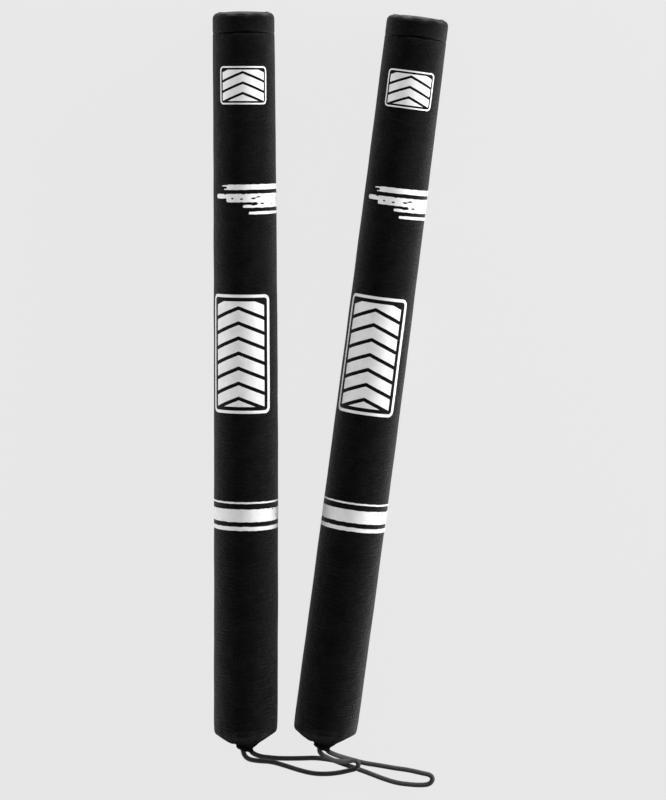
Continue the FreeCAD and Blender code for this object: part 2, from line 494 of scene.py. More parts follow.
def fade(value, start, end):
    """0 before start, 1 after end and smooth between them."""
    share = min(max((value - start) / (end - start), 0), 1)
    return share * share * (3 - 2 * share)


def extra_radius(along, around):
    """How much thicker than the plain stick the padding is at a place."""
    taper = THICK_END + (THIN_END - THICK_END) * fade(along, 0.15, STICK_LENGTH + 0.08)
    spot = Vector((math.sin(around), math.cos(around), along / LUMP_SIZE))
    return taper + LUMP * noise.noise(spot * 1.3)


def settled(point):
    """Where a point of the straight stick ends up once the padding has settled."""
    around, away = turn_and_reach(point)
    share = min(away / STICK_R, 1)
    swelling = extra_radius(point.y, around) * share * fade(point.y, *PADDING_FADE)
    scale = 1 + swelling / max(away, 1 * MM)
    moved = Vector((point.x * scale, point.y, point.z * scale))
    near_mouth = 1 - fade(point.y, *MOUTH_FADE)
    moved.y -= MOUTH_SLANT * point.x * near_mouth * (1 - fade(away, *MOUTH_EDGE))
    near_shoulder = 1 - fade(point.y, *SHOULDER_FADE)
    moved.y += SHOULDER_TILT * point.x * near_shoulder * fade(away, *SHOULDER_EDGE)
    moved.x += BOW * math.sin(math.pi * point.y / STICK_LENGTH) - NECK_SHIFT * near_mouth
    rim = fade(point.y, *RIM_FADE) * fade(away, *RIM_EDGE)
    spot = Vector((1.9 * math.sin(around), 1.9 * math.cos(around), 4))
    moved.y += RIM_LUMP * rim * (noise.noise(spot) - 0.25)
    moved.z = max(moved.z, LOWEST)
    return moved


def settle(builder):
    for vertex in builder.verts:
        vertex.co = settled(vertex.co)


def spun(outline, steps, closed=False):
    """A surface turned from an outline of (distance from the axis, distance from the mouth)."""
    builder = bmesh.new()
    chain = [builder.verts.new((away, along, 0)) for away, along in outline]
    links = [builder.edges.new(pair) for pair in zip(chain, chain[1:])]
    if closed:
        links.append(builder.edges.new((chain[-1], chain[0])))
    bmesh.ops.spin(builder, geom=chain + links, cent=(0, 0, 0), axis=(0, 1, 0),
                   dvec=(0, 0, 0), angle=math.tau, steps=steps, use_merge=True,
                   use_duplicate=False)
    bmesh.ops.remove_doubles(builder, verts=builder.verts, dist=0.001 * MM)
    return builder


print("middle of the stick moves by", settled(Vector((0, STICK_LENGTH / 2, 0))))

# %% [markdown]
# ## The fabric tube
#
# The cover is a tube of stretch fabric. At one end it is drawn into a cone of folds, and at
# the other it turns in over the foam disc. An outline is spun into a surface. The folds are
# rounded lobes with sharp valleys, deep at the mouth and gone past the shoulder, and they
# are uneven because hand-gathered folds never come out equal.

# %% The outline of the tube
NECK_R = 6.9 * MM
NECK_START = 2.6 * MM
CORNER_R = 5 * MM
TOP_HOLE_R = 20.4 * MM
CREASE_DEPTH = 1.3 * MM
CREASE_WIDTH = 0.75 * MM
CONE_SWELL = 1.5 * MM
ROUND_STEPS = 84
CREASE_ROWS = (-6, -3.4, -1.9, -1.1, -0.5, 0, 0.5, 1.1, 1.9, 3.4, 6, 9)


def evenly(start, end, count):
    """Values from start up to, but not including, end."""
    return [start + (end - start) * step / count for step in range(count)]


def oval(middle, half_wide, half_high, count):
    """The outline of a round section; the middle is its distance from the axis and mouth."""
    return [(middle[0] + half_wide * math.cos(turn), middle[1] + half_high * math.sin(turn))
            for turn in evenly(0, math.tau, count)]


def sleeve_outline():
    """Mouth, cone, rounded shoulder, wall and turned-in top edge."""
    neck = [(NECK_R, NECK_START), (NECK_R + 0.1 * MM, NECK_START + 0.9 * MM)]
    cone = [(NECK_R + (STICK_R - NECK_R) * share,
             HEM_HEIGHT + (SHOULDER - HEM_HEIGHT) * share
             - CONE_SWELL * math.sin(math.pi * share))
            for share in evenly(0.04, 0.86, 10)]
    shoulder = [(STICK_R - 1.7 * MM * (1 - math.sin(turn)),
                 SHOULDER - 1.8 * MM + 5 * MM * (1 - math.cos(turn)))
                for turn in evenly(math.radians(20), math.radians(90), 4)]
    low_wall = [(STICK_R, along) for along in evenly(23 * MM, 60 * MM, 9)]
    wall = [(STICK_R, along) for along in evenly(60 * MM, CREASE - 6 * MM, 74)]
    crease = [(STICK_R, CREASE + step * MM) for step in CREASE_ROWS]
    corner = [(STICK_R - CORNER_R * (1 - math.cos(turn)),
               STICK_LENGTH - CORNER_R * (1 - math.sin(turn)))
              for turn in evenly(0, math.radians(90), 5)]
    return neck + cone + shoulder + low_wall + wall + crease + corner + [
        (STICK_R - CORNER_R, STICK_LENGTH), (TOP_HOLE_R, STICK_LENGTH)]


# %% The folds and the crease
FOLD_COUNT = 15
FOLD_DEPTH = 2.1 * MM
FOLD_END = 44 * MM


def fold(around):
    """0 in the valley between two folds and 1 on top of one."""
    wander = 0.9 * math.sin(2 * around + 0.7) + 0.55 * math.sin(5 * around + 2.1)
    return abs(math.sin((FOLD_COUNT * around + wander) / 2)) ** 0.75


def fold_depth(along, around):
    """Depth of the folds, which run out at different lengths."""
    reach = FOLD_END * (0.72 + 0.28 * math.sin(3 * around + 1.2))
    near = 1 - fade(along, 3 * MM, 20 * MM)
    far = 1 - fade(along, 10 * MM, reach)
    return FOLD_DEPTH * (0.80 * near + 0.20 * far)


def shape_sleeve(builder):
    """Presses the folds and the crease into the plain tube, then lets it settle."""
    for vertex in builder.verts:
        point = vertex.co
        around, away = turn_and_reach(point)
        pressed = fold_depth(point.y, around) * (1 - fold(around))
        gap = (point.y - CREASE) / CREASE_WIDTH
        drawn_in = 0.25 + 0.75 * math.cos(around) ** 2
        pressed += CREASE_DEPTH * math.exp(-gap * gap) * drawn_in
        scale = (away - pressed) / away
        vertex.co = Vector((point.x * scale, point.y, point.z * scale))
    settle(builder)


sleeve_builder = spun(sleeve_outline(), ROUND_STEPS)
shape_sleeve(sleeve_builder)
print("sleeve rows", len(sleeve_outline()), "faces", len(sleeve_builder.faces))

# %% [markdown]
# A UV map in metres of cloth lets the weave follow the surface: U goes round the stick from
# the side seam, where the flat fabric was sewn into a tube, and V goes along it.

# %% Lay the weave on the surface
SEAM_TURN = math.radians(-130)


def from_seam(vertex):
    return (turn_and_reach(vertex.co)[0] - SEAM_TURN) % math.tau, vertex.co.y


def lay_cloth(builder):
    """Lays the weave from the seam round."""
    lay_round(builder, builder.loops.layers.uv.new("Cloth"), STICK_R, from_seam)


lay_cloth(sleeve_builder)
sleeve_mesh = mesh_from(sleeve_builder, "sleeve")

# %% [markdown]
# Foam presses the fabric outwards, and stitching holds it in. A short cloth simulation with
# a little pressure gives that: the sewn rows are held, the rest swells, and a cap keeps any
# point from moving too far. The result goes straight into the mesh.

# %% Let the foam fill the fabric
PUFF_CAP = 0.5 * MM
FRAMES = 20


def puffed(mesh, is_sewn, cap):
    """Runs the cloth and keeps its result, with every move cut down to the cap."""
    tube = add_object("puff_maker", mesh)
    held = tube.vertex_groups.new(name="sewn")
    held.add([vertex.index for vertex in mesh.vertices if is_sewn(vertex.co)], 1.0, "REPLACE")
    cloth = tube.modifiers.new("puff", "CLOTH")
    cloth.settings.vertex_group_mass = held.name
    cloth.settings.use_pressure = True
    cloth.settings.uniform_pressure_force = 4
    cloth.settings.effector_weights.gravity = 0
    cloth.point_cache.frame_end = FRAMES
    for step in range(1, FRAMES + 1):
        scene.frame_set(step)
    largest = 0.0
    puffed_out = [vertex.co.copy() for vertex in seen(tube).data.vertices]
    for vertex, after in zip(mesh.vertices, puffed_out):
        move = after - vertex.co
        largest = max(largest, move.length)
        if move.length > cap:
            move *= cap / move.length
        vertex.co += move
        vertex.co.z = max(vertex.co.z, LOWEST)
    bpy.data.objects.remove(tube)
    scene.frame_set(1)
    print("cloth moved up to", round(largest / MM, 2), "mm, kept to", cap / MM, "mm")


def sewn_row(point):
    return (point.y < 7 * MM or abs(point.y - CREASE) < 1 * MM
            or math.hypot(point.x, point.z) < TOP_HOLE_R + 0.3 * MM)


FABRIC = 1.2 * MM
puffed(sleeve_mesh, sewn_row, PUFF_CAP)
cover_mesh = finished(sleeve_mesh, thickness=FABRIC)
print("cover faces", len(cover_mesh.polygons))

# %% [markdown]
# The cover's finish is matte black stretch polyester. Fine yarns cross at right angles, so
# two ripples multiply into small grains. The fabric is very dark head-on and gets lighter
# at a glancing angle, where short fibres catch the light; the shader's sheen does that.

# %% The cover's finish
YARN = 0.62 * MM


def woven_height(tree, around, along):
    """Crossing yarns, from 0 in the gaps to 1 on top."""
    return calculate(tree, "MULTIPLY", ripple(tree, around, YARN), ripple(tree, along, YARN))


def cover_finish(name, nap, darkest=0.0, lightest=0.0040):
    material, tree, shader = new_finish(name, 0.9, Specular_IOR_Level=0.0,
                                        Sheen_Weight=nap, Sheen_Roughness=0.45)
    shader.inputs["Sheen Tint"].default_value = (0.50, 0.50, 0.52, 1)
    flat, around, along = cloth_place(tree)
    weave = woven_height(tree, around, along)
    streaks = add_node(tree, "ShaderNodeMapping", Scale=(120, 620, 1))
    tree.links.new(flat, streaks.inputs["Vector"])
    rows = mottle(tree, streaks.outputs[0], 1.0)
    worn = mottle(tree, flat, 70)
    uneven = calculate(tree, "MULTIPLY", calculate(tree, "ADD", rows, worn), 0.5)
    fine = mottle(tree, flat, 620)
    spread = calculate(tree, "ADD", uneven, calculate(tree, "MULTIPLY", fine, 0.7))
    mixed = calculate(tree, "ADD", calculate(tree, "MULTIPLY", weave, 0.2),
                      calculate(tree, "MULTIPLY_ADD", spread, 1.4, -0.83))
    shade(tree, shader, mixed, (darkest, darkest, darkest), (lightest, lightest, lightest * 1.05))
    slubs = calculate(tree, "MULTIPLY", calculate(tree, "ADD", rows, worn), 9.5)
    grain = calculate(tree, "MULTIPLY", fine, 6.0)
    height = calculate(tree, "ADD", calculate(tree, "ADD", weave, slubs), grain)
    raise_surface(tree, shader, height, 0.09 * MM)
    return material


COVER_FINISH = cover_finish("black_stretch_fabric", 0.42)

# %% [markdown]
# The gathered end and the crease are darker because their finishes have less sheen, and this
# is painted shade: it stands in for the shade in the gathered folds and in the crease. The nap
# is one number for a whole surface, so the gathered end has its own finishes, each with less
# nap than the one before it. Their colour is a little lighter and evener, painted light, so
# the folds still show a little from the front. Every face takes the finish of its distance
# from the mouth. In the crease the painted shade lies only along its deeper stretches.

# %% Less nap towards the mouth and in the crease: painted shade
# Less sheen at each step towards the mouth: painted shade for the gathered folds.
SHADE_NAP_STEPS = [(7.5 * MM, 0.02), (11 * MM, 0.06), (15 * MM, 0.12), (20 * MM, 0.25)]
# Lighter, evener greys for the gathered finishes: painted light, so the folds show from the
# front.
LIFTED_GATHER_DARKEST, LIFTED_GATHER_LIGHTEST = 0.005, 0.012
SHADED_GATHER_FINISHES = [cover_finish("gathered_fabric_painted_shade_" + str(count + 1), nap, LIFTED_GATHER_DARKEST, LIFTED_GATHER_LIGHTEST)
            for count, (_, nap) in enumerate(SHADE_NAP_STEPS)]
# Less sheen in the crease: a painted shade line, on its deeper stretches only.
CREASE_SHADE_FINISH = cover_finish("creased_fabric_painted_shade", 0.06)
CREASE_SHADE_WIDTH = 1.1 * MM
CREASE_SHADE_FROM = 0.35


def painted_shade_slot(place_at):
    """The number of the finish at a place on the cover; 0 is the open wall, and the others carry
    painted shade.
    """
    around, _ = turn_and_reach(place_at)
    off_crease = abs(place_at.y - CREASE - 0.35 * MM * math.sin(3 * around + 1))
    depth = math.cos(around) ** 2
    # Faces along the deeper stretch of the crease take the painted shade finish.
    if off_crease < CREASE_SHADE_WIDTH * depth and depth > CREASE_SHADE_FROM:
        return len(SHADE_NAP_STEPS) + 1
    for count, (edge, _) in enumerate(SHADE_NAP_STEPS):
        if place_at.y < edge:
            return count + 1
    return 0


for side in SIDES:
    cover = place(cover_mesh, "fabric_tube", side, "cover", COVER_FINISH, "cover_sleeve")
    for material in SHADED_GATHER_FINISHES + [CREASE_SHADE_FINISH]:
        cover.data.materials.append(material)
    for face, unplaced in zip(cover.data.polygons, cover_mesh.polygons):
        face.material_index = painted_shade_slot(unplaced.center)
print("faces with less nap", sum(1 for face in cover.data.polygons if face.material_index))

# %% [markdown]
# ## The mouth
#
# The gathered end is hemmed. The hem is a folded-over edge, a thick little collar whose lobes
# carry on from the cone's folds. A rounded rectangle is spun into a ring, and its vertices
# take the same folds.

# %% The hem
MOUTH_R = 5.7 * MM
HEM_TOP = 3.4 * MM
HEM_FOLD = 0.5 * MM


def hem_builder():
    middle = (MOUTH_R + NECK_R) / 2
    half_wall, half_height = (NECK_R - MOUTH_R) / 2, HEM_TOP / 2
    outline = oval((middle, half_height), half_wall * 1.1, half_height, 10)
    builder = spun(outline, 90, closed=True)
    for vertex in builder.verts:
        point = vertex.co
        around, away = turn_and_reach(point)
        lobe = HEM_FOLD * (fold(around) - 0.55)
        scale = (away + lobe * 0.8) / away
        vertex.co = Vector((point.x * scale, point.y - 0.5 * lobe, point.z * scale))
    settle(builder)
    lay_cloth(builder)
    return builder


hem_mesh = finished(mesh_from(hem_builder(), "hem"))
for side in SIDES:
    # The hem takes the gathered finish with the least sheen, which is painted shade.
    place(hem_mesh, "gathered_hem", side, "cover", SHADED_GATHER_FINISHES[0], "mouth_hem")
print("hem faces", len(hem_mesh.polygons))

# %% [markdown]
# A strong twisted thread runs round inside the hem and draws it together. It shows as a
# fine line where it dips between the folds.

# %% The gather thread
THREAD_R = 0.3 * MM


def fibres(tree, place_of):
    return mottle(tree, place_of, 2400)


THREAD_GREYS = (0.008, 0.008, 0.009), (0.035, 0.035, 0.037)
THREAD_FINISH = patterned("black_thread", 0.6, fibres, THREAD_GREYS, 0.05 * MM,
                          Specular_IOR_Level=0.4)


def gather_builder():
    middle = ((MOUTH_R + NECK_R) / 2 + 0.75 * THREAD_R, HEM_HEIGHT / 2)
    builder = spun(oval(middle, THREAD_R, THREAD_R, 8), 72, closed=True)
    settle(builder)
    return builder


gather_mesh = finished(mesh_from(gather_builder(), "gather_thread"), levels=0)
for side in SIDES:
    place(gather_mesh, "drawn_thread", side, "thread", THREAD_FINISH, "gather_thread")

# %% [markdown]
# ## The closed end
#
# A disc of the same fabric closes the top. It domes a little over the foam and puckers
# towards its stitched edge. Concentric rows are spun, and short waves fade in near the rim.

# %% The top disc
PANEL_R = 19.8 * MM
PANEL_ROWS = (0.02, 2, 5, 8, 11, 14, 16.5, 18.2, 19.2, 20.3)
DOME = 0.7 * MM
PUCKERS = 21
PUCKER_DEPTH = 0.28 * MM
RIM_DIP = 0.25 * MM


def panel_builder():
    builder = spun([(away * MM, STICK_LENGTH) for away in PANEL_ROWS], ROUND_STEPS)
    hub = [vertex for vertex in builder.verts if turn_and_reach(vertex.co)[1] < 0.1 * MM]
    bmesh.ops.pointmerge(builder, verts=hub, merge_co=(0, STICK_LENGTH, 0))
    for vertex in builder.verts:
        around, away = turn_and_reach(vertex.co)
        share = away / PANEL_R
        dome = DOME * (1 - share * share)
        pucker = PUCKER_DEPTH * share ** 3 * math.sin(PUCKERS * around + math.sin(3 * around))
        pucker *= 1 - fade(share, 0.95, 1.02)
        vertex.co.y += dome + pucker - RIM_DIP * fade(share, 0.9, 1)
    settle(builder)
    lay_cloth(builder)
    return builder


panel_mesh = finished(mesh_from(panel_builder(), "panel"), thickness=FABRIC)
for side in SIDES:
    place(panel_mesh, "top_disc", side, "cover", COVER_FINISH, "cover_top_panel")
print("panel faces", len(panel_mesh.polygons))

# %% [markdown]
# The disc is joined to the tube by overlock stitching. One short bar of thread with rounded
# ends is made, then turned to each place round the edge. Hundreds of stitches have to stay
# light, so each bar has only a few dozen faces.

# %% Stitches
def add_stitch(builder, length, radius, matrix):
    """A bar of thread along X, domed at both ends, carried to its place."""
    made = bmesh.ops.create_uvsphere(builder, u_segments=8, v_segments=5,
                                     radius=radius)["verts"]
    bmesh.ops.rotate(builder, verts=made, cent=(0, 0, 0),
                     matrix=Matrix.Rotation(math.pi / 2, 3, "Y"))
    for vertex in made:
        if abs(vertex.co.x) > radius / 10:
            vertex.co.x += math.copysign(length / 2, vertex.co.x)
    bmesh.ops.transform(builder, matrix=matrix, verts=made)


STITCH_R = 0.24 * MM
TOP_STITCHES = 62


def top_seam_builder():
    builder = bmesh.new()
    spot = Vector((0, STICK_LENGTH + 0.18 * MM, PANEL_R + 0.3 * MM))
    lie = Matrix.Rotation(math.radians(62), 4, "Y")
    add_stitch(builder, 2.2 * MM, STITCH_R, Matrix.Translation(spot) @ lie)
    bmesh.ops.spin(builder, geom=whole(builder), cent=(0, 0, 0), axis=(0, 1, 0),
                   dvec=(0, 0, 0), steps=TOP_STITCHES, angle=math.tau, use_merge=False,
                   use_duplicate=True)
    settle(builder)
    return builder


top_seam_mesh = mesh_from(top_seam_builder(), "top_seam")
for side in SIDES:
    place(top_seam_mesh, "top_stitches", side, "thread", THREAD_FINISH, "top_seam")
print("top stitches", TOP_STITCHES)

# %% [markdown]
# ## A way to lay things on the cover
#
# The side seam and the print follow every lump of the cover. Each is drawn flat, with X as
# metres round the stick and Y as metres along it, and is cut into small cells so that it
# can bend. Then each vertex is carried to the cover: a ray goes out from the stick's axis,
# and the vertex goes just outside the place where the ray meets the fabric.

# %% Wrap a flat drawing round the stick
def tree_of(mesh):
    """A search tree of a mesh in the stick's own frame."""
    builder = bmesh.new()
    builder.from_mesh(mesh)
    tree = BVHTree.FromBMesh(builder)
    builder.free()
    return tree


COVER_TREE = tree_of(cover_mesh)
RAY_GAP = 4 * MM


def surface_point(around, along, lift):
    """The point at a distance outside the fabric, at a turn from the top of the stick."""
    outwards = Vector((math.sin(around), 0, math.cos(around)))
    start = Vector((0, along, 0)) + outwards * (STICK_R + RAY_GAP)
    hit = COVER_TREE.ray_cast(start, -outwards, 2 * RAY_GAP)[0]
    if hit is None:
        hit = start - outwards * RAY_GAP
    return hit + outwards * lift


SAME_PLANE = 1e-7


def cut_into_cells(builder, across=1.3 * MM, along=5 * MM):
    """Cuts a flat drawing along a grid, so that it can bend."""
    for direction, step in ((Vector((1, 0, 0)), across), (Vector((0, 1, 0)), along)):
        places = [vertex.co.dot(direction) for vertex in builder.verts]
        low, high = min(places), max(places)
        for count in range(1, int((high - low) / step) + 1):
            bmesh.ops.bisect_plane(builder, geom=whole(builder), dist=SAME_PLANE,
                                   plane_co=direction * (low + count * step),
                                   plane_no=direction)


def wrap(builder, lift):
    """Carries a flat drawing to the cover; a vertex's Z adds to the lift."""
    for vertex in builder.verts:
        vertex.co = surface_point(vertex.co.x / STICK_R, vertex.co.y, lift + vertex.co.z)


# %% [markdown]
# ## The side seam
#
# The fabric was closed into a tube by a flatlock seam: two edges lie flat side by side under
# a ladder of thread. It lies low on the left flank. A narrow raised strip carries two
# straight rows of needle stitches and a zigzag between them.

# %% The seam's strip
SEAM_START = 22 * MM
SEAM_END = 600 * MM
SEAM_WIDTH = 2.4 * MM
SEAM_X = SEAM_TURN * STICK_R


def seam_strip_builder():
    builder = bmesh.new()
    bmesh.ops.create_grid(builder, x_segments=6, y_segments=160, size=0.5)
    for vertex in builder.verts:
        across = vertex.co.x * 2
        vertex.co = Vector((SEAM_X + across * SEAM_WIDTH / 2,
                            SEAM_START + (vertex.co.y + 0.5) * (SEAM_END - SEAM_START),
                            0.22 * MM * (1 - across * across)))
    wrap(builder, 0.06 * MM)
    lay_cloth(builder)
    return builder


SEAM_PITCH = 3.0 * MM


def seam_unit():
    """Two needle stitches and a zigzag of two threads, drawn flat at the seam's start."""
    builder = bmesh.new()
    rows = ((-0.85, 0, 90, 2.0), (0.85, 0, 90, 2.0), (0, -0.25, 38, 1.6), (0, 0.25, -38, 1.6))
    for across, shift, tilt, length in rows:
        spot = Vector((SEAM_X + across * MM, SEAM_START + (0.5 + shift) * SEAM_PITCH, 0))
        lie = Matrix.Rotation(math.radians(tilt), 4, "Z")
        add_stitch(builder, length * MM, 0.17 * MM, Matrix.Translation(spot) @ lie)
    return mesh_from(builder, "seam_unit")


def seam_stitch_builder():
    """The unit repeated along the seam, then carried to the fabric."""
    maker = add_object("maker", seam_unit())
    row = maker.modifiers.new("row", "ARRAY")
    row.count = int((SEAM_END - SEAM_START) / SEAM_PITCH)
    row.use_relative_offset = False
    row.use_constant_offset = True
    row.constant_offset_displace = (0, SEAM_PITCH, 0)
    builder = bmesh.new()
    builder.from_mesh(seen(maker).data)
    bpy.data.objects.remove(maker)
    wrap(builder, 0.24 * MM)
    return builder


seam_strip = finished(mesh_from(seam_strip_builder(), "seam_strip"), thickness=0.5 * MM,
                      levels=0)
seam_stitches = mesh_from(seam_stitch_builder(), "seam_stitches")
for side in SIDES:
    place(seam_strip, "seam_strip", side, "cover", COVER_FINISH)
    place(seam_stitches, "seam_stitches", side, "thread", THREAD_FINISH, "side_seam")
print("seam stitch faces", len(seam_stitches.polygons))

# %% [markdown]
# ## The print
#
# White screen-print ink sits on the fabric as a thin layer. The print has a badge near the
# top, three dry brush strokes, a tall panel on the front and another on the back, and three
# bands. Badge and panels are rounded frames round a stack of chevrons. Each shape is real
# geometry 0.16 mm thick, so its edges stay crisp however close one looks.

# %% The ink's finish
INK_LIFT = 0.10 * MM
INK_DEPTH = 0.16 * MM


def ink_finish():
    material, tree, shader = new_finish("white_print_ink", 0.62, Specular_IOR_Level=0.3)
    place_of = object_place(tree)
    cloudy = mottle(tree, place_of, 140, 4.0)
    shade(tree, shader, cloudy, (0.58, 0.58, 0.58), (0.66, 0.66, 0.66))
    grain = mottle(tree, place_of, 1500, 2.0)
    raise_surface(tree, shader, grain, 0.05 * MM, 0.6)
    return material


INK_FINISH = ink_finish()


def print_piece(builder, name):
    """Wraps a flat drawing round both sticks as a thin layer of ink."""
    bmesh.ops.remove_doubles(builder, verts=builder.verts, dist=0.002 * MM)
    wrap(builder, INK_LIFT)
    bmesh.ops.recalc_face_normals(builder, faces=builder.faces)
    for face in builder.faces:
        middle = face.calc_center_median()
        if face.normal.dot(Vector((middle.x, 0, middle.z))) < 0:
            face.normal_flip()
    layer = finished(mesh_as_it_is(builder, name), thickness=INK_DEPTH, levels=0)
    for side in SIDES:
        place(layer, name, side, "print", INK_FINISH)
    print(name, "faces", len(layer.polygons))


# %% [markdown]
# A frame starts as a rectangle. Its corners are bevelled, its rim is inset, and the inside
# is deleted. A chevron is a six-cornered face. The stack of chevrons runs past both ends of
# the frame and is cut off square by two planes, so it fills the frame.

# %% Frames and chevrons
def add_frame(builder, middle, size, corner, line):
    """A rounded rectangular outline, drawn flat."""
    before = set(builder.faces)
    made = bmesh.ops.create_grid(builder, x_segments=1, y_segments=1, size=0.5)["verts"]
    for vertex in made:
        vertex.co = Vector((middle[0] + vertex.co.x * size[0],
                            middle[1] + vertex.co.y * size[1], 0))
    bmesh.ops.bevel(builder, geom=made, offset=corner, segments=5, profile=0.5,
                    affect="VERTICES", material=-1, clamp_overlap=True)
    sheet = [face for face in builder.faces if face not in before]
    bmesh.ops.inset_region(builder, faces=sheet, thickness=line, use_boundary=True,
                           use_even_offset=True)
    bmesh.ops.delete(builder, geom=sheet, context="FACES")


def add_chevron(builder, middle, width, rise, weight):
    """A broad V pointing to the closed end, drawn flat."""
    half = width / 2
    x, y = middle
    corners = [(x - half, y), (x, y + rise), (x + half, y),
               (x + half, y + weight), (x, y + rise + weight), (x - half, y + weight)]
    builder.faces.new([builder.verts.new((across, along, 0)) for across, along in corners])


MARGIN_LINES = 2.3
CHEVRON_RISE = 0.20
CHEVRON_WEIGHT = 0.74


def framed_chevrons(centre_turn, low, high, width, line, count, corner):
    """A frame filled with a stack of chevrons."""
    builder = bmesh.new()
    x = math.radians(centre_turn) * STICK_R
    margin = MARGIN_LINES * line
    inside = width - 2 * margin
    first, last = low + margin, high - margin
    pitch = (last - first) / count
    for step in range(-1, count + 1):
        add_chevron(builder, (x, first + step * pitch), inside, CHEVRON_RISE * inside,
                    CHEVRON_WEIGHT * pitch)
    for end, way in ((first, -1), (last, 1)):
        bmesh.ops.bisect_plane(builder, geom=whole(builder), dist=SAME_PLANE,
                               plane_co=(0, end, 0), plane_no=(0, way, 0), clear_outer=True)
    add_frame(builder, (x, (low + high) / 2), (width, high - low), corner, line)
    cut_into_cells(builder)
    return builder


BADGE = {"low": 534.6 * MM, "high": 565.2 * MM, "width": 42.4 * MM, "line": 1.2 * MM,
         "count": 3, "corner": 3.5 * MM}
PANEL = {"low": 284 * MM, "high": 381 * MM, "width": 54 * MM, "line": 2.4 * MM,
         "count": 7, "corner": 5 * MM}
for name, centre_turn, shape in (("print_badge", 0, BADGE), ("print_front_panel", -9, PANEL),
                                 ("print_back_panel", 146, PANEL)):
    print_piece(framed_chevrons(centre_turn, **shape), name)

# %% [markdown]
# A dry brush leaves ragged starts and bare flecks. A fine grid is drawn for each stroke, and
# the cells that the brush missed are deleted: those before its bristles touch down, which
# each tuft does at its own place with a rounded tip, and those inside a fleck. The stepped
# edge that is left is then smoothed.

# %% Ink that a brush leaves
CELL = 0.45 * MM


def touched(x, share, height, tufts):
    """Whether a tuft of the brush has touched down at a place of the stroke."""
    for low, high, start in tufts:
        if low <= share <= high:
            half = (high - low) * height / 2
            off_middle = abs(2 * (share - low) / (high - low) - 1)
            tip = half * (1 - math.sqrt(1 - off_middle * off_middle))
            if x > math.radians(start) * STICK_R + tip:
                return True
    return False


def bare(x, share, height, flecks):
    """Whether a place of the stroke lies in a fleck of bare fabric."""
    for turn, middle, half_long, half_high in flecks:
        across = (x - math.radians(turn) * STICK_R) / (half_long * MM)
        up = (share - middle) * height / (half_high * MM)
        if across * across + up * up < 1:
            return True
    return False


def brushed(low, high, tufts, end, flecks, waver, drift):
    """A layer of ink from low to high along the stick, drawn flat."""
    builder = bmesh.new()
    height = high - low
    first = math.radians(min(start for _, _, start in tufts)) * STICK_R
    last = math.radians(end) * STICK_R
    bmesh.ops.create_grid(builder, x_segments=round((last - first) / CELL),
                          y_segments=max(4, round(height / CELL)), size=0.5)
    for vertex in builder.verts:
        vertex.co = Vector((first + (vertex.co.x + 0.5) * (last - first), vertex.co.y + 0.5, 0))
    missed = []
    for face in builder.faces:
        x, share, _ = face.calc_center_median()
        if not touched(x, share, height, tufts) or bare(x, share, height, flecks):
            missed.append(face)
    bmesh.ops.delete(builder, geom=missed, context="FACES")
    for vertex in builder.verts:
        x, share, _ = vertex.co
        edge = waver * MM * noise.noise(Vector((x / (3 * MM), low / MM + share * 2, 0)))
        vertex.co.y = low + share * height + edge + drift * x
    for _ in range(3):
        rim = [vertex for vertex in builder.verts if vertex.is_boundary]
        bmesh.ops.smooth_vert(builder, verts=rim, factor=0.5, use_axis_x=True, use_axis_y=True)
    return builder


def print_layers(layers, name, waver, drift=0.0):
    """Several layers of ink as one piece."""
    together = bmesh.new()
    for low, high, tufts, end, flecks in layers:
        layer = brushed(low * MM, high * MM, tufts, end, flecks, waver, drift)
        together.from_mesh(mesh_as_it_is(layer, "layer"))
    print_piece(together, name)


# %% [markdown]
# Each stroke is given by its lower and upper edge, its tufts, the turn where it ends and its
# flecks. A tuft is a share of the stroke's width and the turn where it touches down. A fleck
# is a turn, a share of the width, and half its length and height. Turns are in degrees from
# the top of the stick, and lengths in millimetres.

# %% Brush strokes
STROKES = [
    (465.7, 470.3, [(0, 0.32, -38), (0.04, 1, -32), (0.60, 0.86, -43)], 172, []),
    (451.2, 462.8,
     [(0.66, 1, -58), (0.38, 0.72, -33), (0, 0.22, -1), (0.06, 0.40, 24), (0, 1, 30)], 184,
     [(-36, 0.99, 1.2, 0.7), (-20, 0.66, 0.9, 0.5), (-3, 0.62, 1.3, 0.5), (19, 0.67, 1.9, 0.5),
      (28, 0.76, 2.6, 0.35), (21, 0.27, 2.9, 1.0), (36, 0.30, 2.0, 0.4), (59, 0.28, 0.5, 0.5),
      (1, 0.99, 1.4, 0.4), (84, 0.6, 3.0, 0.4), (118, 0.35, 2.4, 0.5), (150, 0.7, 4.0, 0.5)]),
    (445.8, 448.4, [(0, 1, 10)], 160, [])]
print_layers(STROKES, "print_brush_strokes", waver=0.30, drift=0.012)

# %% [markdown]
# The bands were printed on flat fabric, so each starts and ends at the side seam. Their
# edges are slightly uneven, like ink that has bled along the yarns, and a few flecks are
# bare.

# %% Bands
SEAM_GAP = 3.4
BAND_START = math.degrees(SEAM_TURN) + SEAM_GAP
BAND_END = BAND_START + 360 - 2 * SEAM_GAP
BAND_FLECKS = [(57, 0.90, 0.7, 0.5), (71, 0.95, 0.6, 0.8), (68, 0.42, 0.8, 0.5)]
BANDS = [(low, high, [(-1, 2, BAND_START)], BAND_END, flecks) for low, high, flecks in (
    (187.5, 191.2, []), (194.6, 205.5, BAND_FLECKS), (209.7, 211.5, []))]
print_layers(BANDS, "print_bands", waver=0.34)

# %% [markdown]
# ## The padding
#
# Under the cover lies a sleeve of closed-cell foam round the tube, with a foam disc over its
# end. Both are cut from soft stock, so their edges are rounded over.

# %% Foam
def foam_cells(tree, place_of):
    cells = add_node(tree, "ShaderNodeTexVoronoi", Scale=700.0)
    tree.links.new(place_of, cells.inputs["Vector"])
    return cells.outputs["Distance"]


